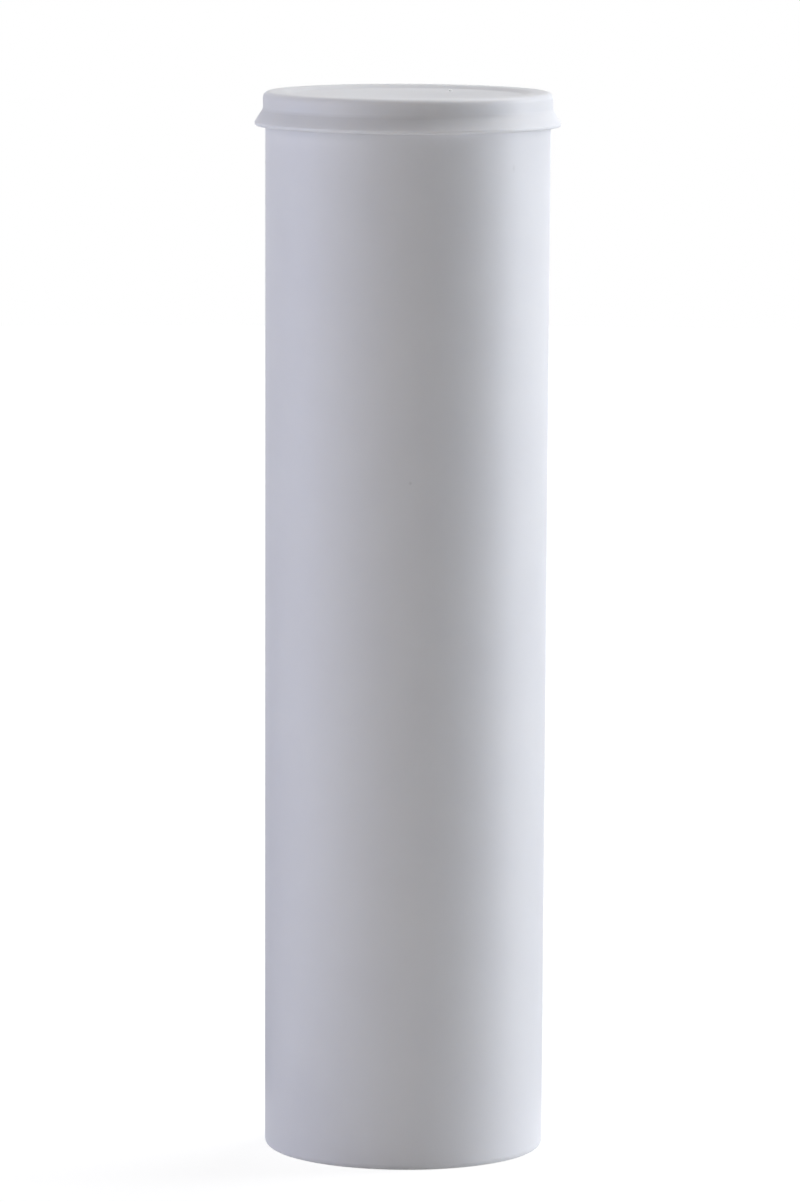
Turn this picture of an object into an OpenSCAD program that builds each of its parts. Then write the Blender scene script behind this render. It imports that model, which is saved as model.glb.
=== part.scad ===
// A tablet tube of white plastic, closed by a stopper that presses into its mouth.
// The stopper has a finger lip, a chamber of drying granules and a springy spacer below it,
// which keeps the tablets from rattling.
// The tube stands on its foot at z = 0, with its axis on Z.

/* [Tube] */
// Length from the foot to the mouth
tube_len = 99; // [80:1:140]
// Outside diameter at the mouth
mouth_d = 27.3; // [25.5:0.1:32]
// How much narrower the foot is than the mouth, which lets the tube leave its mould
tube_draft = 0.4; // [0:0.1:1]
// Thickness of the side wall
wall_t = 0.85; // [0.7:0.05:1.3]
// Thickness of the floor
floor_t = 1.1; // [0.9:0.1:2]
// Radius of the outer corner at the foot
foot_round = 0.6; // [0.3:0.1:1.2]
// Radius of the inner corner at the floor
floor_round = 1; // [0.4:0.1:2]

/* [Mouth of the tube] */
// Width of the slope that leads the stopper into the bore
lead_w = 0.35; // [0.1:0.05:0.45]
// Height of that slope
lead_h = 0.8; // [0.4:0.1:1.6]
// Radius of the mouth's outer edge
mouth_round = 0.12; // [0.05:0.01:0.2]

/* [Underside of the tube] */
// Width of the ring that the tube stands on
foot_ring_w = 2.2; // [1.5:0.1:4]
// Depth of the hollow inside that ring
base_hollow = 0.5; // [0.2:0.1:1.2]
// Diameter of the dimple at the moulding gate
gate_d = 3.2; // [2:0.1:5]
// Depth of that dimple
gate_depth = 0.3; // [0.1:0.05:0.4]
// Diameter of the stub left in the dimple
stub_d = 1.1; // [0.5:0.1:1.5]
// Height of that stub
stub_h = 0.2; // [0.1:0.05:0.3]

/* [Stopper crown] */
// Height of the crown above the tube's mouth
crown_h = 3.25; // [3:0.05:5]
// How far the crown's wall stands proud of the tube
crown_proud = 0.23; // [0.1:0.01:0.6]
// Radius of the crown's top edge
crown_round = 0.6; // [0.2:0.05:0.8]
// Width of the raised rim round the sunk panel
rim_w = 2; // [1.6:0.05:3]
// Depth of the sunk panel
panel_drop = 0.3; // [0.2:0.02:0.5]
// Width of the slope from the rim down to the panel
panel_slope = 0.9; // [0.6:0.1:1.2]
// Radius that blends the slope into the rim and into the panel
panel_round = 1.2; // [0.4:0.1:1.6]
// Thickness of the sunk panel
panel_t = 1; // [0.8:0.1:1.5]
// Diameter of the small pip on the panel
pip_d = 0.3; // [0.3:0.05:0.8]
// Height of the pip
pip_h = 0.28; // [0.2:0.02:0.4]
// Distance of the pip from the panel's edge
pip_edge = 3.64; // [1:0.02:7]
// Direction of the pip, counted from +X
pip_angle = 56; // [0:0.5:359.5]

/* [Finger lip] */
// How far the lip reaches out from the crown's wall
lip_reach = 0.8; // [0.4:0.05:1.4]
// Height above the mouth at which the wall starts to flare into the lip
lip_h = 1.6; // [1.3:0.025:2]
// Height of the lip's outer face
lip_edge = 0.34; // [0.28:0.02:0.7]
// Radius that blends the wall into the flare
flare_round = 0.7; // [0.3:0.1:1.2]
// Radius of the lip's lower edge
lip_round = 0.2; // [0.1:0.05:0.25]

/* [Plug skirt] */
// Depth of the skirt inside the mouth
skirt_len = 7; // [6.5:0.5:9]
// Thickness of the skirt
skirt_t = 0.8; // [0.8:0.05:1]
// Gap between the skirt and the bore
skirt_gap = 0.35; // [0.3:0.01:0.4]
// Number of sealing beads round the skirt
bead_count = 2; // [1:1:3]
// Depth of the first bead
bead_first = 2.2; // [1.6:0.1:2.4]
// Distance from one bead to the next
bead_pitch = 1.7; // [1.2:0.1:1.7]
// Radius of a bead's section
bead_r = 0.5; // [0.4:0.01:0.5]
// Clearance between a bead and the bore
bead_clear = 0.05; // [0.03:0.01:0.1]

/* [Desiccant chamber] */
// Diameter of the chamber's bore
chamber_d = 16.4; // [12:0.1:16.8]
// Thickness of the chamber's wall
chamber_t = 0.8; // [0.6:0.05:0.9]
// Depth of the chamber's end below the mouth
chamber_depth = 12.2; // [11:0.1:16]
// How far the crimped rim reaches in under the disc
crimp_w = 0.9; // [0.5:0.1:1.5]
// Thickness of the crimped rim
crimp_t = 0.6; // [0.5:0.05:0.9]
// Thickness of the board disc
disc_t = 1; // [0.5:0.1:1.5]
// Clearance round the board disc
disc_clear = 0.1; // [0.05:0.01:0.2]
// Clearance round the granules
fill_clear = 0.05; // [0.03:0.01:0.1]
// Empty height above the granules
head_space = 1.2; // [0.5:0.1:3]

/* [Springy spacer] */
// Length of the open arms
spring_len = 16; // [10:0.5:24]
// Number of arms
arm_count = 3; // [2:1:4]
// Angle through which each arm winds
arm_turn = 280; // [180:10:300]
// Width of an arm, measured across the tube's axis
arm_w = 1.3; // [1:0.1:1.5]
// Height of an arm, measured along the tube's axis
arm_t = 1.5; // [1:0.1:1.8]
// How far the collar and the end ring stand out from the chamber's wall
collar_step = 1.5; // [1.2:0.1:1.6]
// Thickness of the collar that carries the arms
collar_t = 1.3; // [1:0.1:1.7]
// Thickness of the ring at the arms' far end
ring_t = 1.3; // [1:0.1:2]

/* [Hidden] */
$fn = 120;

// How far a cut runs past the face that it opens
past = 1;
// How far an arm's end sits inside the collar and the ring
bite = 0.4;
// How far an arm's sides sit inside those of the collar and the ring
arm_inset = 0.15;
// Steps that an arm takes in a full turn, and the corners and facets of its section
arm_steps = 36;
arm_corners = 8;
arm_fn = 36;
// How far the side of the hollow under the foot leans in
hollow_slope = 0.3;

mouth_r = mouth_d / 2;
foot_r = mouth_r - tube_draft / 2;
floor_z = base_hollow + floor_t;
hollow_r = foot_r - foot_ring_w;

crown_r = mouth_r + crown_proud;
lip_r = crown_r + lip_reach;
panel_r = crown_r - rim_w - panel_slope;
panel_z = crown_h - panel_drop;
panel_lean = atan2(panel_drop, panel_slope);
panel_bend = min(panel_round, panel_slope / 2.2 / tan(panel_lean / 2));
ceiling_z = panel_z - panel_t;

lip_lean = atan2(lip_reach, lip_h - lip_edge);
lip_bend = min(flare_round, (crown_h - crown_round - lip_h) / tan(lip_lean / 2));

skirt_out_top = bore_r(tube_len) - skirt_gap;
skirt_out_end = bore_r(tube_len - skirt_len) - skirt_gap;
skirt_in = skirt_out_end - skirt_t;

chamber_r = chamber_d / 2;
chamber_out = chamber_r + chamber_t;
chamber_z = -chamber_depth;
disc_z = chamber_z + crimp_t;

collar_out = chamber_out + collar_step;
collar_in = collar_out - arm_w - 2 * arm_inset;
ring_z = chamber_z - spring_len - ring_t;
arm_pitch = spring_len * 360 / arm_turn;
arm_angle = arm_t * 360 / arm_pitch;

plastic_white = [0.9, 0.9, 0.92];
soft_white = [0.92, 0.92, 0.94];
granule_white = [0.86, 0.84, 0.78];
board_grey = [0.72, 0.68, 0.6];

// Outside radius of the tube at height z
function tube_r(z) = foot_r + (mouth_r - foot_r) * z / tube_len;

// Radius of the bore at height z
function bore_r(z) = tube_r(z) - wall_t;

// What a radius r takes off a square corner at the origin whose faces run to -x and -y
module corner(r) {
    difference() {
        translate([-r, -r]) square(r + past);
        translate([-r, -r]) circle(r);
    }
}

// What a radius r fills in at the origin, where a face from -x turns up by the angle lean
module bend(r, lean) {
    reach = r * tan(lean / 2);
    difference() {
        polygon([
            [-reach, 0],
            [-reach, -bite],
            [0, -bite],
            [reach * cos(lean), reach * sin(lean) - bite],
            [reach * cos(lean), reach * sin(lean)]
        ]);
        translate([-reach, r]) circle(r);
    }
}

// Half section of the space inside the tube
module bore_section() {
    difference() {
        polygon([
            [0, floor_z],
            [bore_r(floor_z), floor_z],
            [bore_r(tube_len - lead_h), tube_len - lead_h],
            [bore_r(tube_len) + lead_w, tube_len],
            [bore_r(tube_len) + lead_w, tube_len + past],
            [0, tube_len + past]
        ]);
        translate([bore_r(floor_z + floor_round), floor_z]) mirror([0, 1]) corner(floor_round);
    }
}

// Half section of the hollow under the foot
module hollow_section() {
    polygon([
        [0, -past],
        [hollow_r, -past],
        [hollow_r, 0],
        [hollow_r - hollow_slope, base_hollow],
        [0, base_hollow]
    ]);
}

module tube_section() {
    difference() {
        polygon([[0, 0], [foot_r, 0], [mouth_r, tube_len], [0, tube_len]]);
        bore_section();
        hollow_section();
        translate([tube_r(foot_round), 0]) mirror([0, 1]) corner(foot_round);
        translate([tube_r(tube_len - mouth_round), tube_len]) corner(mouth_round);
    }
}

// The tube, one moulding, with the mark of its gate under the floor
module tube() {
    color(plastic_white) {
        difference() {
            rotate_extrude() tube_section();
            translate([0, 0, base_hollow - past]) cylinder(d = gate_d, h = past + gate_depth);
        }
        translate([0, 0, base_hollow + gate_depth - stub_h])
            cylinder(d = stub_d, h = stub_h + bite / 2);
    }
}

// Half section of the space over the sunk panel, with soft bends at both ends of its slope
module panel_section() {
    difference() {
        polygon([
            [0, panel_z],
            [panel_r, panel_z],
            [panel_r + panel_slope, crown_h],
            [panel_r + panel_slope, crown_h + past],
            [0, crown_h + past]
        ]);
        translate([panel_r, panel_z]) bend(panel_bend, panel_lean);
    }
    translate([panel_r + panel_slope, crown_h]) rotate(180) bend(panel_bend, panel_lean);
}

// Half section of the crown with its lip
module crown_section() {
    difference() {
        union() {
            polygon([
                [0, ceiling_z],
                [skirt_in, ceiling_z],
                [skirt_in, 0],
                [lip_r, 0],
                [lip_r, lip_edge],
                [crown_r, lip_h],
                [crown_r, crown_h],
                [0, crown_h]
            ]);
            translate([crown_r, lip_h]) rotate(-90) bend(lip_bend, lip_lean);
        }
        panel_section();
        translate([crown_r, crown_h]) corner(crown_round);
        translate([lip_r, 0]) mirror([0, 1]) corner(lip_round);
    }
}

// Half section of the skirt with its sealing beads
module skirt_section() {
    polygon([
        [skirt_in, ceiling_z],
        [skirt_out_top, ceiling_z],
        [skirt_out_top, 0],
        [skirt_out_end, -skirt_len + skirt_t / 2],
        [skirt_out_end - skirt_t / 2, -skirt_len],
        [skirt_in, -skirt_len]
    ]);
    for (i = [0 : bead_count - 1]) {
        depth = bead_first + i * bead_pitch;
        translate([bore_r(tube_len - depth) - bead_clear - bead_r, -depth]) circle(bead_r);
    }
}

// Half section of the chamber's wall with its crimped rim and the collar that carries the arms
module chamber_section() {
    translate([chamber_r, chamber_z]) square([chamber_t, ceiling_z - chamber_z + bite]);
    translate([chamber_r - crimp_w + crimp_t / 2, chamber_z])
        square([crimp_w + chamber_t - crimp_t / 2, crimp_t]);
    translate([chamber_r - crimp_w + crimp_t / 2, chamber_z + crimp_t / 2]) circle(crimp_t / 2);
    difference() {
        translate([chamber_r + chamber_t / 2, chamber_z])
            square([collar_out - chamber_r - chamber_t / 2, collar_t]);
        translate([collar_out, chamber_z + collar_t]) corner(collar_t / 2);
    }
}

// Half section of the ring at the arms' far end
module ring_section() {
    round = ring_t / 3;
    difference() {
        translate([collar_in, ring_z]) square([collar_out - collar_in, ring_t]);
        translate([collar_out, ring_z]) mirror([0, 1]) corner(round);
        translate([collar_in, ring_z]) rotate(180) corner(round);
    }
}

// Level section of one arm: a short piece of a ring
module arm_section() {
    far = 2 * collar_out;
    intersection() {
        difference() {
            circle(collar_out - arm_inset, $fn = arm_fn);
            circle(collar_in + arm_inset, $fn = arm_fn);
        }
        polygon([
            [0, 0],
            [far * cos(arm_angle / 2), -far * sin(arm_angle / 2)],
            [far * cos(arm_angle / 2), far * sin(arm_angle / 2)]
        ]);
    }
}

// The arms, which wind down side by side from the collar to the ring
module arms() {
    wound = arm_turn * (spring_len + 2 * bite) / spring_len;
    for (i = [0 : arm_count - 1])
        rotate(i * 360 / arm_count)
            translate([0, 0, chamber_z - spring_len - bite])
                linear_extrude(
                    height = spring_len + 2 * bite,
                    twist = wound,
                    slices = ceil(wound * arm_steps / 360),
                    segments = arm_corners
                ) arm_section();
}

// The small round-topped pip on the panel
module pip() {
    translate([0, 0, -bite]) cylinder(d = pip_d, h = pip_h - pip_d / 2 + bite);
    translate([0, 0, pip_h - pip_d / 2]) sphere(d = pip_d);
}

// The stopper, one moulding, seated on the tube's mouth
module stopper() {
    color(soft_white) translate([0, 0, tube_len]) {
        rotate_extrude() {
            crown_section();
            skirt_section();
            chamber_section();
        }
        rotate_extrude() ring_section();
        arms();
        rotate(pip_angle) translate([panel_r - pip_edge, 0, panel_z]) pip();
    }
}

// The granules, as the space that they fill in the chamber
module desiccant() {
    fill_z = disc_z + disc_t;
    color(granule_white) translate([0, 0, tube_len + fill_z])
        cylinder(r = chamber_r - fill_clear, h = ceiling_z - head_space - fill_z);
}

// The board disc that closes the chamber, resting on the crimped rim
module cardboard_disc() {
    color(board_grey) translate([0, 0, tube_len + disc_z])
        cylinder(r = chamber_r - disc_clear, h = disc_t);
}

tube();
stopper();
desiccant();
cardboard_disc();
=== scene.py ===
"""A white plastic tablet tube with its press-in stopper, finished and lit as a product photo.

The tube, the stopper, the drying granules and the board disc are turned, wound or packed from
named sizes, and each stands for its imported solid. Lengths are in metres, +Z is up, and the
tube stands on its foot at z = 0.
"""

import logging
import math
from dataclasses import dataclass
from enum import Enum

import bmesh
import bpy
import numpy as np
from mathutils import Matrix, Vector


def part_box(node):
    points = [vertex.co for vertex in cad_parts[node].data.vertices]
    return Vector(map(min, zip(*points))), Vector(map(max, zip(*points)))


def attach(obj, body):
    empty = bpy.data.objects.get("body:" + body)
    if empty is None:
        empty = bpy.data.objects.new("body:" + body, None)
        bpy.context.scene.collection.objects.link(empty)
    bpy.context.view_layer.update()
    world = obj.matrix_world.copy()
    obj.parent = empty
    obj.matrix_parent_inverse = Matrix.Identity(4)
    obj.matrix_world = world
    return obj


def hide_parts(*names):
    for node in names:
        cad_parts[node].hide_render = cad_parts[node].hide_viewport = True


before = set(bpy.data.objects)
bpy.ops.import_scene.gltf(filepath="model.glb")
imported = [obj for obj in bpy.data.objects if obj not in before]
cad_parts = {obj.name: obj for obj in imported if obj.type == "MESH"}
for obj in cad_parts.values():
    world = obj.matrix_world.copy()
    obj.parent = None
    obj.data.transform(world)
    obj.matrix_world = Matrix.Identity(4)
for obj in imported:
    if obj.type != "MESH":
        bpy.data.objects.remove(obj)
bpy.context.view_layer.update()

MM = 0.001
TURN = 2 * math.pi
# Points nearer to each other than this are one.
WELD = 0.001 * MM
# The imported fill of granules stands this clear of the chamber's wall.
FILL_CLEAR = 0.05 * MM
# The bevel profile that makes a true arc.
ROUND_PROFILE = 0.5

Colour = tuple[float, float, float]
Triple = tuple[float, float, float]

log = logging.getLogger("tablet_tube")


class Grain(Enum):
    """How a moulded surface's fine pattern is stretched along X, Y and Z."""

    EVEN = (1.0, 1.0, 1.0)
    DRAWN = (1.0, 1.0, 0.05)


class Side(Enum):
    """The side of the object that a lamp or card is on, as a sign on X."""

    LEFT = -1
    RIGHT = 1


def mesh_of(name: str, shape: bmesh.types.BMesh) -> bpy.types.Mesh:
    """Makes a mesh from a finished shape.

    Args:
        name: The mesh's name.
        shape: The shape, which is freed.

    Returns:
        The mesh.
    """
    mesh = bpy.data.meshes.new(name)
    shape.to_mesh(mesh)
    shape.free()
    return mesh


def add_object(name: str, data: bpy.types.ID) -> bpy.types.Object:
    """Adds an object to the scene.

    Args:
        name: The object's name.
        data: Its mesh, lamp or camera.

    Returns:
        The object.
    """
    added = bpy.data.objects.new(name, data)
    bpy.context.scene.collection.objects.link(added)
    return added


def round_points(
    shape: bmesh.types.BMesh, points: list[bmesh.types.BMVert], offset: float, segments: int
) -> None:
    """Replaces corners of an outline by arcs.

    Args:
        shape: The mesh that holds the outline.
        points: The vertices at the corners.
        offset: How far from its corner an arc starts.
        segments: How many edges an arc has.
    """
    bmesh.ops.bevel(
        shape,
        geom=points,
        offset=offset,
        offset_type="OFFSET",
        segments=segments,
        profile=ROUND_PROFILE,
        affect="VERTICES",
        material=-1,
    )


@dataclass(frozen=True)
class Corner:
    """One corner of a half section: its radius, its height and its rounding."""

    r: float
    z: float
    round: float = 0.0


@dataclass(frozen=True)
class Lathe:
    """Turns half sections about the tube's axis, with their corners rounded."""

    steps: int = 192
    fine_segments: int = 4
    broad_segments: int = 8
    broad_round: float = 0.3 * MM

    def outline(self, shape: bmesh.types.BMesh, corners: list[Corner], loop: bool) -> None:
        """Draws a half section as a chain of edges and rounds its corners.

        Args:
            shape: The mesh that takes the chain.
            corners: The corners in order.
            loop: True to join the last corner to the first.
        """
        points = [shape.verts.new((c.r, 0.0, c.z)) for c in corners]
        followers = points[1:] + points[:1] if loop else points[1:]
        for start, end in zip(points, followers):
            shape.edges.new((start, end))
        for index, corner in enumerate(corners):
            if corner.round:
                before = corners[index - 1]
                after = corners[(index + 1) % len(corners)]
                self.round_off(shape, points[index], before, corner, after)

    def round_off(
        self,
        shape: bmesh.types.BMesh,
        point: bmesh.types.BMVert,
        before: Corner,
        corner: Corner,
        after: Corner,
    ) -> None:
        """Replaces one corner of a chain by an arc of the corner's own radius.

        Args:
            shape: The mesh that holds the chain.
            point: The vertex at the corner.
            before: The corner before it.
            corner: The corner itself.
            after: The corner after it.
        """
        way_in = Vector((corner.r - before.r, corner.z - before.z))
        way_out = Vector((after.r - corner.r, after.z - corner.z))
        bend = way_in.angle(way_out)
        broad = corner.round >= self.broad_round
        segments = self.broad_segments if broad else self.fine_segments
        round_points(shape, [point], corner.round * math.tan(bend / 2), segments)

    def turn(self, corners: list[Corner], loop: bool = False) -> bmesh.types.BMesh:
        """Turns a half section into a closed shell.

        Args:
            corners: The section's corners, from axis to axis unless it is a loop.
            loop: True for a section that closes on itself, away from the axis.

        Returns:
            The turned mesh, with its faces pointing outwards.
        """
        shape = bmesh.new()
        self.outline(shape, corners, loop)
        bmesh.ops.spin(
            shape,
            geom=shape.verts[:] + shape.edges[:],
            cent=(0, 0, 0),
            axis=(0, 0, 1),
            angle=TURN,
            steps=self.steps,
            use_merge=True,
        )
        bmesh.ops.remove_doubles(shape, verts=shape.verts[:], dist=WELD)
        bmesh.ops.recalc_face_normals(shape, faces=shape.faces[:])
        return shape


class NodeBench:
    """Adds and joins the nodes of one material."""

    # A noise pattern rarely leaves this range.
    NOISE_LOW = 0.3
    NOISE_HIGH = 0.7
    # The colour sockets of a Mix node go by number, because others share their names.
    MIX_COLOURS = (6, 7)
    MIX_RESULT = 2

    def __init__(self, name: str) -> None:
        """Starts a material that holds a principled shader."""
        self.material = bpy.data.materials.new(name)
        self.material.use_nodes = True
        self.tree = self.material.node_tree
        self.shader = self.tree.nodes["Principled BSDF"]

    def add(self, kind: str, **settings: object) -> bpy.types.Node:
        """Adds one node.

        Args:
            kind: The node's type, without its ShaderNode prefix.
            settings: Properties of the node, by name.

        Returns:
            The new node.
        """
        node = self.tree.nodes.new("ShaderNode" + kind)
        for name, value in settings.items():
            setattr(node, name, value)
        return node

    def join(self, source: bpy.types.NodeSocket, target: bpy.types.NodeSocket) -> None:
        """Links an output to an input."""
        self.tree.links.new(source, target)

    def place(self, stretch: Triple) -> bpy.types.NodeSocket:
        """Gives the object's own coordinates, stretched.

        Args:
            stretch: The scale along X, Y and Z.

        Returns:
            The socket that carries the coordinates.
        """
        coordinates = self.add("TexCoord")
        mapping = self.add("Mapping")
        mapping.inputs["Scale"].default_value = stretch
        self.join(coordinates.outputs["Object"], mapping.inputs["Vector"])
        return mapping.outputs["Vector"]

    def noise(
        self, place: bpy.types.NodeSocket, pitch: float, detail: float, rough: float = 0.5
    ) -> bpy.types.NodeSocket:
        """Adds a noise pattern.

        Args:
            place: The coordinates that it reads.
            pitch: The size of its largest spots.
            detail: How many finer octaves it has.
            rough: How strong the finer octaves are.

        Returns:
            The socket that carries the pattern, about 0.5 on average.
        """
        pattern = self.add("TexNoise")
        pattern.inputs["Scale"].default_value = 1 / pitch
        pattern.inputs["Detail"].default_value = detail
        pattern.inputs["Roughness"].default_value = rough
        self.join(place, pattern.inputs["Vector"])
        return pattern.outputs["Fac"]

    def spread(
        self, value: bpy.types.NodeSocket, low: float = 0.0, high: float = 1.0
    ) -> bpy.types.NodeSocket:
        """Stretches a noise pattern's usual range over a range of values.

        Args:
            value: The pattern.
            low: What its dark spots become.
            high: What its bright spots become.

        Returns:
            The socket that carries the new values.
        """
        mapped = self.add("MapRange")
        mapped.inputs["From Min"].default_value = self.NOISE_LOW
        mapped.inputs["From Max"].default_value = self.NOISE_HIGH
        mapped.inputs["To Min"].default_value = low
        mapped.inputs["To Max"].default_value = high
        self.join(value, mapped.inputs["Value"])
        return mapped.outputs["Result"]

    def blend(
        self,
        share: bpy.types.NodeSocket,
        first: Colour | bpy.types.NodeSocket,
        second: Colour | bpy.types.NodeSocket,
    ) -> bpy.types.NodeSocket:
        """Blends two colours.

        Args:
            share: The share of the second colour.
            first: The first colour, or a socket that carries it.
            second: The second colour, or a socket that carries it.

        Returns:
            The socket that carries the blend.
        """
        mix = self.add("Mix", data_type="RGBA")
        self.join(share, mix.inputs["Factor"])
        for colour, index in zip((first, second), self.MIX_COLOURS):
            if isinstance(colour, bpy.types.NodeSocket):
                self.join(colour, mix.inputs[index])
            else:
                mix.inputs[index].default_value = (*colour, 1.0)
        return mix.outputs[self.MIX_RESULT]

    def relief(
        self,
        height: bpy.types.NodeSocket,
        depth: float,
        under: bpy.types.NodeSocket | None = None,
    ) -> bpy.types.NodeSocket:
        """Adds a bump to the surface.

        Args:
            height: The pattern of the bump.
            depth: Its depth, from a value of 0 to a value of 1.
            under: The normal of a coarser bump under it.

        Returns:
            The socket that carries the bumped normal.
        """
        bump = self.add("Bump")
        bump.inputs["Strength"].default_value = 1.0
        bump.inputs["Distance"].default_value = depth
        self.join(height, bump.inputs["Height"])
        if under is not None:
            self.join(under, bump.inputs["Normal"])
        return bump.outputs["Normal"]


@dataclass(frozen=True)
class Mark:
    """A soft mark on a surface's colour, used for dark spots, painted shade and a painted
    highlight: its middle, half width, half height, share and colour.
    """

    centre: Triple
    half_width: float
    half_height: float
    share: float
    colour: Colour


@dataclass(frozen=True)
class SatinPlastic:
    """A white moulded plastic with a fine satin skin, faint clouding and a soft glow."""

    name: str
    colour: Colour
    shade: Colour
    roughness: float
    roughness_swing: float
    grain: Grain
    skin_pitch: float
    skin_depth: float
    wave_pitch: float
    wave_depth: float
    glow: float
    glow_depth: float
    marks: tuple[Mark, ...]
    glow_reach: Colour = (1.0, 0.95, 0.9)
    cloud_pitch: float = 9 * MM
    cloud_detail: float = 3
    rub_scale: float = 6
    rub_detail: float = 2
    wave_detail: float = 1
    skin_detail: float = 2
    skin_rough: float = 0.6
    refraction: float = 1.5

    def material(self) -> bpy.types.Material:
        """Makes the material.

        Returns:
            The finished material.
        """
        bench = NodeBench(self.name)
        even = bench.place(Grain.EVEN.value)
        drawn = bench.place(self.grain.value)
        clouds = bench.spread(bench.noise(even, self.cloud_pitch, self.cloud_detail))
        colour = bench.blend(clouds, self.colour, self.shade)
        for mark in self.marks:
            colour = self.lay_mark(bench, colour, mark)
        bench.join(colour, bench.shader.inputs["Base Color"])
        low = self.roughness - self.roughness_swing
        high = self.roughness + self.roughness_swing
        rub = bench.noise(drawn, self.skin_pitch * self.rub_scale, self.rub_detail)
        bench.join(bench.spread(rub, low, high), bench.shader.inputs["Roughness"])
        coarse = bench.noise(drawn, self.wave_pitch, self.wave_detail)
        fine = bench.noise(even, self.skin_pitch, self.skin_detail, self.skin_rough)
        waves = bench.relief(coarse, self.wave_depth)
        skin = bench.relief(fine, self.skin_depth, waves)
        bench.join(skin, bench.shader.inputs["Normal"])
        bench.shader.inputs["IOR"].default_value = self.refraction
        bench.shader.inputs["Subsurface Weight"].default_value = self.glow
        bench.shader.inputs["Subsurface Radius"].default_value = self.glow_reach
        bench.shader.inputs["Subsurface Scale"].default_value = self.glow_depth
        return bench.material

    def lay_mark(
        self, bench: NodeBench, colour: bpy.types.NodeSocket, mark: Mark
    ) -> bpy.types.NodeSocket:
        """Lays one soft mark over the surface's colour, such as a dark spot, painted shade or
        a painted highlight.

        Args:
            bench: The bench that the material is made on.
            colour: The colour under the mark.
            mark: The mark.

        Returns:
            The socket that carries the colour with the mark.
        """
        across = 1 / mark.half_width
        along = 1 / mark.half_height
        place = bench.place((across, across, along))
        distance = bench.add("VectorMath", operation="DISTANCE")
        x, y, z = mark.centre
        distance.inputs[1].default_value = (x * across, y * across, z * along)
        bench.join(place, distance.inputs[0])
        fade = bench.add("MapRange", interpolation_type="SMOOTHSTEP")
        fade.inputs["To Min"].default_value = mark.share
        fade.inputs["To Max"].default_value = 0.0
        bench.join(distance.outputs["Value"], fade.inputs["Value"])
        return bench.blend(fade.outputs["Result"], colour, mark.colour)


@dataclass(frozen=True)
class DryBead:
    """The chalky finish of the drying granules, each with its own tint."""

    name: str
    colour: Colour
    shade: Colour
    roughness: float = 0.85
    pore_pitch: float = 0.15 * MM
    pore_depth: float = 0.02 * MM
    pore_detail: float = 3
    pore_rough: float = 0.7

    def material(self) -> bpy.types.Material:
        """Makes the material.

        Returns:
            The finished material.
        """
        bench = NodeBench(self.name)
        place = bench.place(Grain.EVEN.value)
        tint = bench.add("Attribute", attribute_name=GranuleFill.TINT)
        colour = bench.blend(tint.outputs["Fac"], self.colour, self.shade)
        bench.join(colour, bench.shader.inputs["Base Color"])
        pores = bench.noise(place, self.pore_pitch, self.pore_detail, self.pore_rough)
        bench.join(bench.relief(pores, self.pore_depth), bench.shader.inputs["Normal"])
        bench.shader.inputs["Roughness"].default_value = self.roughness
        return bench.material


@dataclass(frozen=True)
class GreyBoard:
    """Pressed board: a warm grey mat of short fibres with a few dark flecks."""

    name: str
    colour: Colour
    shade: Colour
    fleck: Colour
    roughness: float = 0.9
    fibre_pitch: float = 0.35 * MM
    fibre_depth: float = 0.05 * MM
    fibre_stretch: float = 0.2
    fibre_detail: float = 4
    fibre_rough: float = 0.7
    fleck_pitch: float = 0.6 * MM
    fleck_detail: float = 2
    fleck_start: float = 0.68
    fleck_full: float = 0.74

    def material(self) -> bpy.types.Material:
        """Makes the material.

        Returns:
            The finished material.
        """
        bench = NodeBench(self.name)
        even = bench.place(Grain.EVEN.value)
        fibres = bench.add("Math", operation="MAXIMUM")
        stretches = ((1.0, self.fibre_stretch, 1.0), (self.fibre_stretch, 1.0, 1.0))
        for stretch, target in zip(stretches, fibres.inputs):
            way = bench.place(stretch)
            strands = bench.noise(way, self.fibre_pitch, self.fibre_detail, self.fibre_rough)
            bench.join(strands, target)
        mat = bench.spread(fibres.outputs["Value"])
        colour = bench.blend(mat, self.shade, self.colour)
        specks = bench.add("MapRange")
        specks.inputs["From Min"].default_value = self.fleck_start
        specks.inputs["From Max"].default_value = self.fleck_full
        spots = bench.noise(even, self.fleck_pitch, self.fleck_detail)
        bench.join(spots, specks.inputs["Value"])
        colour = bench.blend(specks.outputs["Result"], colour, self.fleck)
        bench.join(colour, bench.shader.inputs["Base Color"])
        mat_relief = bench.relief(fibres.outputs["Value"], self.fibre_depth)
        bench.join(mat_relief, bench.shader.inputs["Normal"])
        bench.shader.inputs["Roughness"].default_value = self.roughness
        return bench.material


@dataclass(frozen=True)
class Seat:
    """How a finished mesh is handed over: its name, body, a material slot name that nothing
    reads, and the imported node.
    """

    name: str
    body: str
    slot: str
    node: str
    smooth_to: float = math.radians(35)

    def place(
        self, shape: bmesh.types.BMesh, material: bpy.types.Material
    ) -> bpy.types.Object:
        """Makes the piece from its mesh, hangs it on its body and hides its imported node.

        Args:
            shape: The finished mesh, which is freed.
            material: The finish of the piece.

        Returns:
            The piece.
        """
        mesh = mesh_of(self.name, shape)
        for face in mesh.polygons:
            face.use_smooth = True
        mesh.set_sharp_from_angle(angle=self.smooth_to)
        mesh.materials.append(material)
        piece = add_object(self.name, mesh)
        even = piece.modifiers.new("even_shading", "WEIGHTED_NORMAL")
        even.keep_sharp = True
        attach(piece, self.body)
        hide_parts(self.node)
        log.info("%s: %d faces, rides on %s", self.name, len(mesh.polygons), self.body)
        return piece


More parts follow.
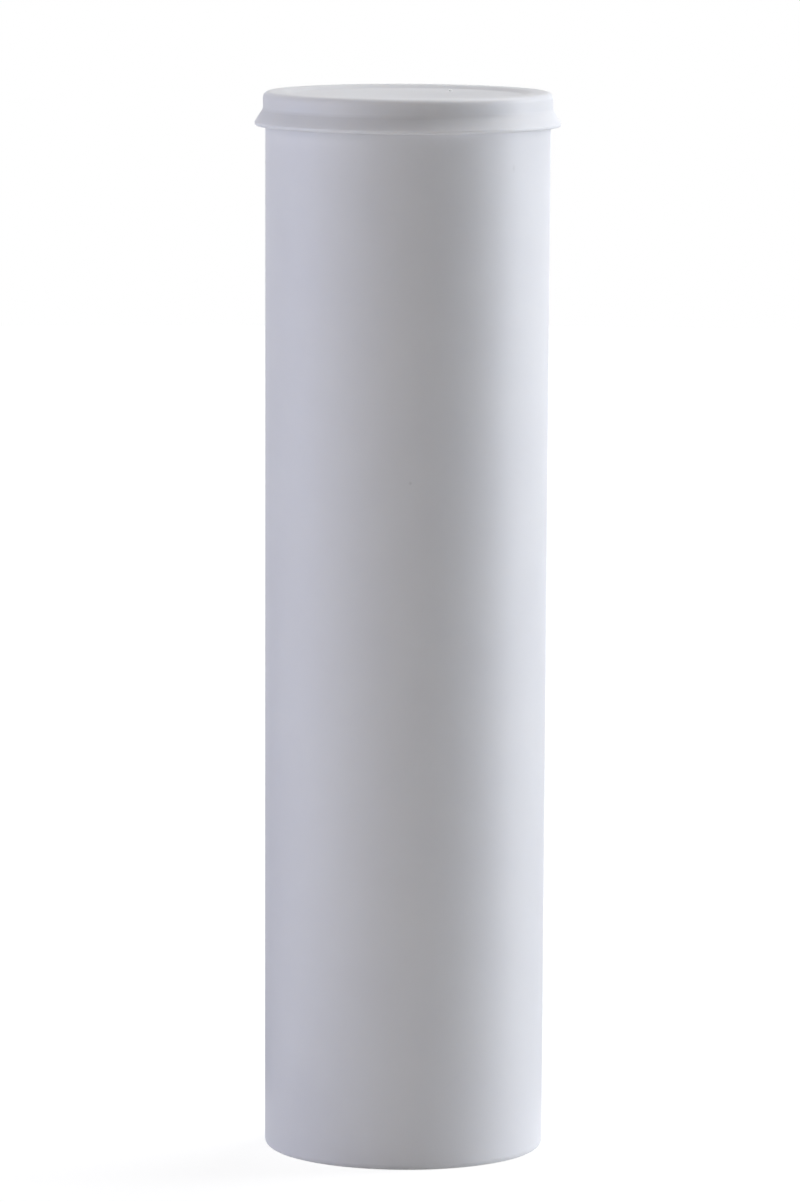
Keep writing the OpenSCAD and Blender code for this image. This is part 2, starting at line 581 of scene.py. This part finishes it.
@dataclass
class TubeBody:
    """The tube: side wall, floor, foot ring, the hollow under the foot and the open mouth."""

    height: float
    mouth_radius: float
    finish: SatinPlastic
    draft: float = 0.2 * MM
    wall: float = 0.85 * MM
    floor: float = 1.1 * MM
    foot_round: float = 0.6 * MM
    floor_round: float = 1.0 * MM
    lead_width: float = 0.35 * MM
    lead_height: float = 0.8 * MM
    mouth_round: float = 0.12 * MM
    foot_ring: float = 2.2 * MM
    hollow_depth: float = 0.5 * MM
    hollow_slope: float = 0.3 * MM
    gate_radius: float = 1.6 * MM
    gate_depth: float = 0.3 * MM
    stub_radius: float = 0.55 * MM
    stub_height: float = 0.2 * MM
    edge_round: float = 0.05 * MM
    lathe: Lathe = Lathe()

    def outside(self, z: float) -> float:
        """Gives the outside radius at height z."""
        return self.mouth_radius - self.draft * (1 - z / self.height)

    def bore(self, z: float) -> float:
        """Gives the radius of the bore at height z."""
        return self.outside(z) - self.wall

    def section(self) -> list[Corner]:
        """Gives the half section.

        Returns:
            Its corners, from the floor's middle over the mouth to the underside's middle.
        """
        floor_z = self.hollow_depth + self.floor
        lead_z = self.height - self.lead_height
        lead_r = self.bore(self.height) + self.lead_width
        hollow_r = self.outside(0) - self.foot_ring
        gate_z = self.hollow_depth + self.gate_depth
        stub_z = gate_z - self.stub_height
        return [
            Corner(0, floor_z),
            Corner(self.bore(floor_z), floor_z, self.floor_round),
            Corner(self.bore(lead_z), lead_z, self.lead_height / 2),
            Corner(lead_r, self.height, self.edge_round),
            Corner(self.mouth_radius, self.height, self.mouth_round),
            Corner(self.outside(0), 0, self.foot_round),
            Corner(hollow_r, 0, self.edge_round),
            Corner(hollow_r - self.hollow_slope, self.hollow_depth, self.edge_round),
            Corner(self.gate_radius, self.hollow_depth, self.edge_round),
            Corner(self.gate_radius, gate_z, self.edge_round),
            Corner(self.stub_radius, gate_z, self.edge_round),
            Corner(self.stub_radius, stub_z, self.edge_round),
            Corner(0, stub_z),
        ]

    def build(self) -> bpy.types.Object:
        """Turns the tube and gives it its finish.

        Returns:
            The piece.
        """
        seat = Seat("tablet_tube", "tube", "white_polypropylene", "tube")
        return seat.place(self.lathe.turn(self.section()), self.finish.material())


@dataclass
class Stopper:
    """The stopper: crown, finger lip, beaded skirt, granule chamber and the springy spacer.

    Heights in its sections are counted from the tube's mouth.
    """

    tube: TubeBody
    crown_height: float
    lip_radius: float
    chamber_radius: float
    depth: float
    finish: SatinPlastic
    crown_proud: float = 0.23 * MM
    crown_round: float = 0.6 * MM
    rim_width: float = 2.0 * MM
    panel_drop: float = 0.3 * MM
    panel_slope: float = 0.9 * MM
    panel_round: float = 1.2 * MM
    panel_wall: float = 1.0 * MM
    flare_start: float = 1.6 * MM
    flare_round: float = 0.7 * MM
    lip_edge: float = 0.34 * MM
    lip_round: float = 0.2 * MM
    skirt_length: float = 7.0 * MM
    skirt_wall: float = 0.8 * MM
    skirt_gap: float = 0.35 * MM
    bead_depths: tuple[float, ...] = (2.2 * MM, 3.9 * MM)
    bead_radius: float = 0.5 * MM
    bead_clear: float = 0.05 * MM
    chamber_wall: float = 0.8 * MM
    chamber_depth: float = 12.2 * MM
    crimp_reach: float = 0.9 * MM
    crimp_wall: float = 0.6 * MM
    crimp_round: float = 0.27 * MM
    collar_step: float = 1.5 * MM
    collar_wall: float = 1.3 * MM
    end_ring: float = 1.3 * MM
    inner_round: float = 0.3 * MM
    edge_round: float = 0.1 * MM
    arm_count: int = 3
    arm_turn: float = math.radians(280)
    arm_width: float = 1.3 * MM
    arm_height: float = 1.5 * MM
    arm_inset: float = 0.15 * MM
    arm_bite: float = 0.4 * MM
    arm_round: float = 0.2 * MM
    arm_steps: int = 96
    pip_radius: float = 0.22 * MM
    pip_height: float = 0.2 * MM
    pip_root: float = 0.4 * MM
    pip_inset: float = 3.64 * MM
    pip_angle: float = math.radians(56)
    pip_round: float = 0.18 * MM
    lathe: Lathe = Lathe()
    pip_lathe: Lathe = Lathe(steps=32)

    def __post_init__(self) -> None:
        """Works out the radii and heights that several parts share."""
        self.crown_radius = self.tube.mouth_radius + self.crown_proud
        self.panel_radius = self.crown_radius - self.rim_width - self.panel_slope
        self.panel_z = self.crown_height - self.panel_drop
        self.ceiling_z = self.panel_z - self.panel_wall
        self.chamber_z = -self.chamber_depth
        self.collar_radius = self.chamber_radius + self.chamber_wall + self.collar_step
        self.ring_inside = self.collar_radius - self.arm_width - 2 * self.arm_inset

    def crown(self) -> list[Corner]:
        """Gives the crown's part of the section.

        Returns:
            Its corners, from the panel's middle out to the lip.
        """
        return [
            Corner(0, self.panel_z),
            Corner(self.panel_radius, self.panel_z, self.panel_round),
            Corner(self.panel_radius + self.panel_slope, self.crown_height, self.panel_round),
            Corner(self.crown_radius, self.crown_height, self.crown_round),
            Corner(self.crown_radius, self.flare_start, self.flare_round),
            Corner(self.lip_radius, self.lip_edge, self.edge_round),
            Corner(self.lip_radius, 0, self.lip_round),
        ]

    def bead(self, depth: float, skirt_radius: float) -> list[Corner]:
        """Gives one sealing bead.

        Args:
            depth: How deep the bead's middle lies below the mouth.
            skirt_radius: The outside radius of the skirt there.

        Returns:
            The corners of the bead, from its top to its bottom.
        """
        crest = self.tube.bore(self.tube.height - depth) - self.bead_clear
        middle = crest - self.bead_radius
        half = math.sqrt(self.bead_radius**2 - (skirt_radius - middle) ** 2)
        return [
            Corner(skirt_radius, -depth + half, self.edge_round),
            Corner(crest, -depth, self.bead_radius),
            Corner(skirt_radius, -depth - half, self.edge_round),
        ]

    def skirt(self) -> list[Corner]:
        """Gives the skirt's part of the section, with its sealing beads.

        Returns:
            Its corners, down the outside and up the inside.
        """
        top = self.tube.bore(self.tube.height) - self.skirt_gap
        end = self.tube.bore(self.tube.height - self.skirt_length) - self.skirt_gap
        inside = end - self.skirt_wall
        chamfer = self.skirt_wall / 2
        beads = [c for depth in self.bead_depths for c in self.bead(depth, top)]
        return [
            Corner(top, 0, self.edge_round),
            *beads,
            Corner(end, -self.skirt_length + chamfer, self.edge_round),
            Corner(end - chamfer, -self.skirt_length, self.edge_round),
            Corner(inside, -self.skirt_length, self.edge_round),
            Corner(inside, self.ceiling_z, self.inner_round),
        ]

    def chamber(self) -> list[Corner]:
        """Gives the chamber's part of the section, with its collar and crimped rim.

        Returns:
            Its corners, down the outside, round the rim and up to the ceiling's middle.
        """
        outside = self.chamber_radius + self.chamber_wall
        collar_z = self.chamber_z + self.collar_wall
        crimp_r = self.chamber_radius - self.crimp_reach
        crimp_z = self.chamber_z + self.crimp_wall
        return [
            Corner(outside, self.ceiling_z, self.inner_round),
            Corner(outside, collar_z, self.inner_round),
            Corner(self.collar_radius, collar_z, self.collar_wall / 2),
            Corner(self.collar_radius, self.chamber_z, self.edge_round),
            Corner(crimp_r, self.chamber_z, self.crimp_round),
            Corner(crimp_r, crimp_z, self.crimp_round),
            Corner(self.chamber_radius, crimp_z, self.edge_round),
            Corner(self.chamber_radius, self.ceiling_z, self.inner_round),
            Corner(0, self.ceiling_z),
        ]

    def ring(self) -> list[Corner]:
        """Gives the section of the ring at the arms' far end.

        Returns:
            Its corners, from the inside of its foot round to the inside of its top.
        """
        low = -self.depth
        high = low + self.end_ring
        foot_round = self.end_ring / 3
        return [
            Corner(self.ring_inside, low, foot_round),
            Corner(self.collar_radius, low, foot_round),
            Corner(self.collar_radius, high, self.edge_round),
            Corner(self.ring_inside, high, self.edge_round),
        ]

    def arms(self) -> bmesh.types.BMesh:
        """Winds the spacer's arms from the end ring up to the collar.

        Returns:
            The mesh of all arms, each a closed bar.
        """
        low = -self.depth + self.end_ring - self.arm_bite
        high = self.chamber_z + self.arm_bite
        open_length = high - low - 2 * self.arm_bite
        middle = (self.ring_inside + self.collar_radius) / 2
        upright = Matrix.Rotation(math.pi / 2, 4, "X")
        stand = Matrix.Translation((middle, 0, low)) @ upright
        stand @= Matrix.Diagonal((self.arm_width, self.arm_height, 1, 1))
        shape = bmesh.new()
        bmesh.ops.create_grid(shape, x_segments=1, y_segments=1, size=0.5, matrix=stand)
        round_points(shape, shape.verts[:], self.arm_round, self.lathe.fine_segments)
        bmesh.ops.spin(
            shape,
            geom=shape.verts[:] + shape.edges[:] + shape.faces[:],
            cent=(0, 0, 0),
            axis=(0, 0, 1),
            dvec=(0, 0, (high - low) / self.arm_steps),
            angle=self.arm_turn * (high - low) / open_length,
            steps=self.arm_steps,
        )
        bmesh.ops.spin(
            shape,
            geom=shape.verts[:] + shape.edges[:] + shape.faces[:],
            cent=(0, 0, 0),
            axis=(0, 0, 1),
            angle=TURN * (self.arm_count - 1) / self.arm_count,
            steps=self.arm_count - 1,
            use_duplicate=True,
        )
        bmesh.ops.recalc_face_normals(shape, faces=shape.faces[:])
        return shape

    def pip(self) -> bmesh.types.BMesh:
        """Makes the small pip on the sunk panel.

        Returns:
            The mesh of the pip, a round-topped pin that is rooted in the panel.
        """
        section = [
            Corner(0, -self.pip_root),
            Corner(self.pip_radius, -self.pip_root),
            Corner(self.pip_radius, self.pip_height, self.pip_round),
            Corner(0, self.pip_height),
        ]
        shape = self.pip_lathe.turn(section)
        out = self.panel_radius - self.pip_inset
        spot = (out * math.cos(self.pip_angle), out * math.sin(self.pip_angle), self.panel_z)
        bmesh.ops.translate(shape, vec=spot, verts=shape.verts[:])
        return shape

    def build(self) -> bpy.types.Object:
        """Turns and winds the stopper, joins it into one moulding and finishes it.

        Returns:
            The piece.
        """
        section = self.crown() + self.skirt() + self.chamber()
        body = self.lathe.turn(section)
        for addition in (self.lathe.turn(self.ring(), loop=True), self.arms(), self.pip()):
            body = fuse(body, addition)
        bmesh.ops.translate(body, vec=(0, 0, self.tube.height), verts=body.verts[:])
        seat = Seat("stopper_moulding", "stopper", "white_polyethylene", "stopper")
        return seat.place(body, self.finish.material())


def fuse(first: bmesh.types.BMesh, second: bmesh.types.BMesh) -> bmesh.types.BMesh:
    """Joins two closed meshes into one skin.

    Args:
        first: The first mesh, which is freed.
        second: The second mesh, which is freed.

    Returns:
        The joined mesh.
    """
    pieces = [add_object("blank", mesh_of("blank", shape)) for shape in (first, second)]
    join = pieces[0].modifiers.new("join", "BOOLEAN")
    join.operation = "UNION"
    join.solver = "EXACT"
    join.object = pieces[1]
    view = bpy.context.evaluated_depsgraph_get()
    joined = bmesh.new()
    joined.from_object(pieces[0], view)
    for piece in pieces:
        mesh = piece.data
        bpy.data.objects.remove(piece)
        bpy.data.meshes.remove(mesh)
    return joined


@dataclass
class GranuleFill:
    """The drying granules: round beads, settled on each other in the closed chamber."""

    TINT = "bead_tint"

    radius: float
    low: float
    high: float
    finish: DryBead
    smallest: float = 0.85 * MM
    largest: float = 1.05 * MM
    packing: float = 0.57
    settling_steps: int = 260
    fall: float = 0.05 * MM
    push_share: float = 0.35
    ball_level: int = 2
    seed: int = 7

    def scatter(self) -> tuple[np.ndarray, np.ndarray]:
        """Strews the beads through the chamber.

        Returns:
            The beads' middles, and their radii.
        """
        draw = np.random.default_rng(self.seed)
        middle_size = (self.smallest + self.largest) / 2
        room = math.pi * self.radius**2 * (self.high - self.low)
        count = int(self.packing * room / (4 / 3 * math.pi * middle_size**3))
        radii = draw.uniform(self.smallest, self.largest, count)
        angle = draw.uniform(0, TURN, count)
        out = (self.radius - self.largest) * np.sqrt(draw.uniform(0, 1, count))
        height = draw.uniform(self.low + self.largest, self.high - self.largest, count)
        middles = np.column_stack((out * np.cos(angle), out * np.sin(angle), height))
        return middles, radii

    def settle(self, middles: np.ndarray, radii: np.ndarray) -> None:
        """Lets the beads sink, then push each other apart, all inside the chamber.

        Args:
            middles: The beads' middles, which are moved.
            radii: The beads' radii.
        """
        touch = radii[:, None] + radii[None, :]
        limit = self.radius - radii
        sinking_steps = self.settling_steps // 2
        for step in range(self.settling_steps):
            if step < sinking_steps:
                middles[:, 2] -= self.fall
            gap = middles[:, None, :] - middles[None, :, :]
            distance = np.linalg.norm(gap, axis=2)
            np.fill_diagonal(distance, 1.0)
            push = np.clip(touch - distance, 0, None) / distance
            middles += self.push_share * np.einsum("ij,ijk->ik", push, gap)
            across = np.linalg.norm(middles[:, :2], axis=1)
            scale = np.minimum(1.0, limit / np.maximum(across, WELD))
            middles[:, :2] *= scale[:, None]
            middles[:, 2] = np.clip(middles[:, 2], self.low + radii, self.high - radii)

    def build(self) -> bpy.types.Object:
        """Makes the beads and gives them their finish.

        Returns:
            The piece.
        """
        draw = np.random.default_rng(self.seed + 1)
        shape = bmesh.new()
        tint = shape.verts.layers.float.new(self.TINT)
        middles, radii = self.scatter()
        self.settle(middles, radii)
        for middle, radius in zip(middles, radii):
            ball = bmesh.ops.create_icosphere(
                shape,
                subdivisions=self.ball_level,
                radius=radius,
                matrix=Matrix.Translation(Vector(middle)),
            )
            shade = draw.uniform(0, 1)
            for point in ball["verts"]:
                point[tint] = shade
        seat = Seat(
            "drying_beads", "stopper", "drying_granules", "desiccant", smooth_to=math.pi
        )
        return seat.place(shape, self.finish.material())


@dataclass
class BoardDisc:
    """The board disc that closes the chamber, with its punched edges slightly soft."""

    radius: float
    low: float
    high: float
    finish: GreyBoard
    edge_round: float = 0.18 * MM
    lathe: Lathe = Lathe()

    def build(self) -> bpy.types.Object:
        """Turns the disc and gives it its finish.

        Returns:
            The piece.
        """
        section = [
            Corner(0, self.low),
            Corner(self.radius, self.low, self.edge_round),
            Corner(self.radius, self.high, self.edge_round),
            Corner(0, self.high),
        ]
        seat = Seat("board_disc", "stopper", "disc_board", "cardboard_disc")
        return seat.place(self.lathe.turn(section), self.finish.material())


@dataclass(frozen=True)
class SoftBox:
    """A soft rectangular lamp that faces the object and isn't seen itself."""

    name: str
    side: Side
    bearing: float
    distance: float
    height: float
    width: float
    tall: float
    power: float
    colour: Colour
    aim: float = 50 * MM

    def build(self) -> None:
        """Adds the lamp, bearing degrees round from the camera's own direction."""
        data = bpy.data.lights.new(self.name, "AREA")
        data.shape = "RECTANGLE"
        data.size = self.width
        data.size_y = self.tall
        data.energy = self.power
        data.color = self.colour
        lamp = add_object(self.name, data)
        turn = math.radians(self.bearing)
        across = self.side.value * math.sin(turn)
        lamp.location = (self.distance * across, -self.distance * math.cos(turn), self.height)
        facing = Vector((0, 0, self.aim)) - lamp.location
        lamp.rotation_euler = facing.to_track_quat("-Z", "Y").to_euler()
        lamp.visible_camera = False


@dataclass(frozen=True)
class DarkCard:
    """A dark card that lies on the floor beside the picture, where only a sheen shows it."""

    name: str
    side: Side
    start: float = 25.0
    end: float = 70.0
    near: float = 0.03
    far: float = 0.55
    lift: float = 0.5 * MM
    steps: int = 12
    colour: Colour = (0.02, 0.02, 0.02)
    roughness: float = 0.9

    def build(self) -> None:
        """Lays the card between its two bearings, in degrees round from straight behind."""
        shape = bmesh.new()
        turn = math.radians(self.start)
        out = Vector((self.side.value * math.sin(turn), math.cos(turn), 0))
        rise = Vector((0, 0, self.lift))
        ends = [shape.verts.new(reach * out + rise) for reach in (self.near, self.far)]
        bmesh.ops.spin(
            shape,
            geom=[*ends, shape.edges.new(ends)],
            axis=(0, 0, 1),
            angle=-self.side.value * math.radians(self.end - self.start),
            steps=self.steps,
        )
        mesh = mesh_of(self.name, shape)
        bench = NodeBench(self.name)
        bench.shader.inputs["Base Color"].default_value = (*self.colour, 1.0)
        bench.shader.inputs["Roughness"].default_value = self.roughness
        mesh.materials.append(bench.material)
        card = add_object(self.name, mesh)
        card.visible_camera = False
        card.visible_diffuse = False
        card.visible_shadow = False


@dataclass
class Studio:
    """The pale floor with its side cards, the white backdrop and the lamps."""

    lamps: tuple[SoftBox, ...]
    cards: tuple[DarkCard, ...]
    floor_radius: float = 0.9
    floor_segments: int = 96
    floor_colour: Colour = (0.8, 0.8, 0.8)
    floor_glow: float = 0.87
    floor_catch: Colour = (0.3, 0.3, 0.3)
    shadow_reach: float = 0.15

    def backdrop(self) -> None:
        """Makes the world white where it is seen, with no light of its own on the object."""
        world = bpy.data.worlds.new("white_backdrop")
        world.use_nodes = True
        tree = world.node_tree
        tree.nodes.clear()
        white = tree.nodes.new("ShaderNodeBackground")
        white.inputs["Color"].default_value = (1.0, 1.0, 1.0, 1.0)
        output = tree.nodes.new("ShaderNodeOutputWorld")
        tree.links.new(self.seen(tree), white.inputs["Strength"])
        tree.links.new(white.outputs["Background"], output.inputs["Surface"])
        bpy.context.scene.world = world

    @staticmethod
    def seen(tree: bpy.types.NodeTree) -> bpy.types.NodeSocket:
        """Tells the rays that show the backdrop from those that only carry light.

        Args:
            tree: The node tree of the floor's material or the world.

        Returns:
            A socket that is 1 for camera, glossy and transmission rays.
        """
        path = tree.nodes.new("ShaderNodeLightPath")
        total = path.outputs["Is Camera Ray"]
        for name in ("Is Glossy Ray", "Is Transmission Ray"):
            either = tree.nodes.new("ShaderNodeMath")
            either.operation = "MAXIMUM"
            tree.links.new(total, either.inputs[0])
            tree.links.new(path.outputs[name], either.inputs[1])
            total = either.outputs["Value"]
        return total

    def floor_material(self) -> bpy.types.Material:
        """Makes the floor's finish: pale, with the object's soft shadow, clear from below.

        Returns:
            The material.
        """
        bench = NodeBench("pale_floor")
        tree = bench.tree
        tree.nodes.remove(bench.shader)
        plain = bench.add("BsdfDiffuse")
        plain.inputs["Color"].default_value = (*self.floor_colour, 1.0)
        dim = bench.add("BsdfDiffuse")
        dim.inputs["Color"].default_value = (*self.floor_catch, 1.0)
        glow = bench.add("Emission")
        bench.join(self.far_glow(bench), glow.inputs["Strength"])
        shown = bench.add("AddShader")
        bench.join(dim.outputs["BSDF"], shown.inputs[0])
        bench.join(glow.outputs["Emission"], shown.inputs[1])
        either = bench.add("MixShader")
        bench.join(self.seen(tree), either.inputs["Fac"])
        bench.join(plain.outputs["BSDF"], either.inputs[1])
        bench.join(shown.outputs["Shader"], either.inputs[2])
        clear = bench.add("BsdfTransparent")
        side = bench.add("NewGeometry")
        both = bench.add("MixShader")
        bench.join(side.outputs["Backfacing"], both.inputs["Fac"])
        bench.join(either.outputs["Shader"], both.inputs[1])
        bench.join(clear.outputs["BSDF"], both.inputs[2])
        bench.join(both.outputs["Shader"], tree.nodes["Material Output"].inputs["Surface"])
        return bench.material

    def far_glow(self, bench: NodeBench) -> bpy.types.NodeSocket:
        """Brings the floor to the backdrop's white, so that its far edge doesn't show.

        Args:
            bench: The bench that the floor's material is made on.

        Returns:
            The socket that carries the floor's own brightness.
        """
        spot = bench.add("NewGeometry")
        away = bench.add("VectorMath", operation="LENGTH")
        bench.join(spot.outputs["Position"], away.inputs[0])
        rise = bench.add("MapRange", interpolation_type="SMOOTHSTEP")
        rise.inputs["From Min"].default_value = self.shadow_reach
        rise.inputs["From Max"].default_value = self.floor_radius
        rise.inputs["To Min"].default_value = self.floor_glow
        rise.inputs["To Max"].default_value = 1.0
        bench.join(away.outputs["Value"], rise.inputs["Value"])
        return rise.outputs["Result"]

    def floor(self) -> None:
        """Lays the floor, a round sheet under the object."""
        shape = bmesh.new()
        bmesh.ops.create_circle(
            shape, cap_ends=True, segments=self.floor_segments, radius=self.floor_radius
        )
        mesh = mesh_of("floor", shape)
        mesh.materials.append(self.floor_material())
        sheet = add_object("floor", mesh)

    def build(self) -> None:
        """Sets up the whole studio."""
        self.backdrop()
        self.floor()
        for card in self.cards:
            card.build()
        for lamp in self.lamps:
            lamp.build()
            log.info("%s: %.2f W", lamp.name, lamp.power)


@dataclass(frozen=True)
class PhotoCamera:
    """The camera of the photo, 800 by 1202 pixels, fitted to the tube's outline there."""

    location: Triple = (0.0, -0.69097, 0.140876)
    down: float = math.radians(7.235)
    yaw: float = math.radians(0.046)
    roll: float = math.radians(0.269)
    lens: float = 216.36
    sensor: float = 36.0

    def build(self) -> None:
        """Makes the camera and gives it to the scene."""
        data = bpy.data.cameras.new("photo_camera")
        data.lens = self.lens
        data.sensor_width = self.sensor
        camera = add_object("photo_camera", data)
        pan = Matrix.Rotation(self.yaw, 4, "Z")
        tilt = Matrix.Rotation(math.pi / 2 - self.down, 4, "X")
        cant = Matrix.Rotation(self.roll, 4, "Z")
        camera.matrix_world = Matrix.Translation(self.location) @ pan @ tilt @ cant
        bpy.context.scene.camera = camera


# A small darker spot on the tube's wall just under the finger lip, right of the front.
DARK_SPOT_UNDER_LIP = Mark(
    centre=(10.0 * MM, -9.28 * MM, 95.55 * MM),
    half_width=0.28 * MM,
    half_height=0.55 * MM,
    share=0.20,
    colour=(0.50, 0.50, 0.52),
)

SPECK_ON_WALL = Mark(
    centre=(0.38 * MM, -13.58 * MM, 66.07 * MM),
    half_width=0.22 * MM,
    half_height=0.22 * MM,
    share=0.35,
    colour=(0.45, 0.45, 0.45),
)

# Painted shade: the sunk panel on the stopper's top is darkened in its colour, most just
# right of its middle, where the top takes less light.
PANEL_PAINTED_SHADE = Mark(
    centre=(5.0 * MM, 0.0, 101.95 * MM),
    half_width=14.0 * MM,
    half_height=3.0 * MM,
    share=0.55,
    colour=(0.60, 0.60, 0.62),
)

# Painted highlight: the pip and a little of the panel round it are painted pure white, so
# that the pip shows as a bright glint.
PIP_PAINTED_HIGHLIGHT = Mark(
    centre=(4.10 * MM, 6.08 * MM, 102.1 * MM),
    half_width=0.6 * MM,
    half_height=0.6 * MM,
    share=1.0,
    colour=(1.0, 1.0, 1.0),
)

TUBE_FINISH = SatinPlastic(
    name="white_polypropylene_satin",
    colour=(0.80, 0.80, 0.82),
    shade=(0.775, 0.775, 0.80),
    roughness=0.50,
    roughness_swing=0.03,
    grain=Grain.DRAWN,
    skin_pitch=0.25 * MM,
    skin_depth=0.0012 * MM,
    wave_pitch=3.5 * MM,
    wave_depth=0.004 * MM,
    glow=0.5,
    glow_depth=0.6 * MM,
    marks=(DARK_SPOT_UNDER_LIP, SPECK_ON_WALL),
)

STOPPER_FINISH = SatinPlastic(
    name="white_polyethylene_satin",
    colour=(0.80, 0.80, 0.815),
    shade=(0.77, 0.77, 0.79),
    roughness=0.46,
    roughness_swing=0.03,
    grain=Grain.EVEN,
    skin_pitch=0.2 * MM,
    skin_depth=0.0015 * MM,
    wave_pitch=3 * MM,
    wave_depth=0.004 * MM,
    glow=1.0,
    glow_depth=0.8 * MM,
    marks=(PANEL_PAINTED_SHADE, PIP_PAINTED_HIGHLIGHT),
)

BEAD_FINISH = DryBead(
    name="chalky_beads",
    colour=(0.80, 0.78, 0.70),
    shade=(0.66, 0.62, 0.52),
)

BOARD_FINISH = GreyBoard(
    name="grey_board",
    colour=(0.62, 0.57, 0.48),
    shade=(0.50, 0.45, 0.37),
    fleck=(0.25, 0.21, 0.16),
)

# Each lamp: name, side, bearing, distance, height, width, tall, power and colour.
LAMPS = (
    SoftBox("left_lamp", Side.LEFT, 60, 0.9, 0.30, 0.3, 0.9, 2.58, (0.961, 0.958, 1.0)),
    SoftBox("left_low_lamp", Side.LEFT, 90, 0.9, 0.06, 0.4, 0.1, 1.39, (0.612, 0.682, 1.0)),
    SoftBox("left_high_lamp", Side.LEFT, 75, 0.8, 0.65, 0.3, 0.3, 0.79, (0.887, 0.870, 1.0)),
    SoftBox("right_lamp", Side.RIGHT, 105, 0.9, 0.30, 0.3, 0.9, 6.31, (0.937, 0.963, 1.0)),
    SoftBox("right_low_lamp", Side.RIGHT, 90, 0.9, 0.06, 0.4, 0.1, 1.60, (0.778, 0.856, 1.0)),
    SoftBox("back_high_lamp", Side.RIGHT, 140, 0.6, 1.0, 0.5, 0.5, 5.37, (0.964, 0.977, 1.0)),
    SoftBox("front_low_lamp", Side.RIGHT, 5, 1.2, 0.10, 0.6, 0.2, 0.79, (1.0, 0.877, 0.699)),
    SoftBox("top_lamp", Side.RIGHT, 0, 0.01, 1.0, 0.6, 0.6, 0.67, (1.0, 0.969, 0.934)),
)

CARDS = (DarkCard("left_card", Side.LEFT), DarkCard("right_card", Side.RIGHT))


def main() -> None:
    """Builds the pieces, the studio and the camera."""
    logging.basicConfig(level=logging.INFO, format="%(name)s %(message)s")
    tube_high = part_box("tube")[1]
    stopper_low, stopper_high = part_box("stopper")
    fill_low, fill_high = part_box("desiccant")
    disc_low, disc_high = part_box("cardboard_disc")
    tube = TubeBody(height=tube_high.z, mouth_radius=tube_high.x, finish=TUBE_FINISH)
    tube.build()
    stopper = Stopper(
        tube=tube,
        crown_height=stopper_high.z - tube_high.z,
        lip_radius=stopper_high.x,
        chamber_radius=fill_high.x + FILL_CLEAR,
        depth=tube_high.z - stopper_low.z,
        finish=STOPPER_FINISH,
    )
    stopper.build()
    GranuleFill(fill_high.x, fill_low.z, fill_high.z, BEAD_FINISH).build()
    BoardDisc(disc_high.x, disc_low.z, disc_high.z, BOARD_FINISH).build()
    Studio(LAMPS, CARDS).build()
    PhotoCamera().build()
    bpy.context.scene.view_settings.view_transform = "Standard"


if __name__ == "__main__":
    main()
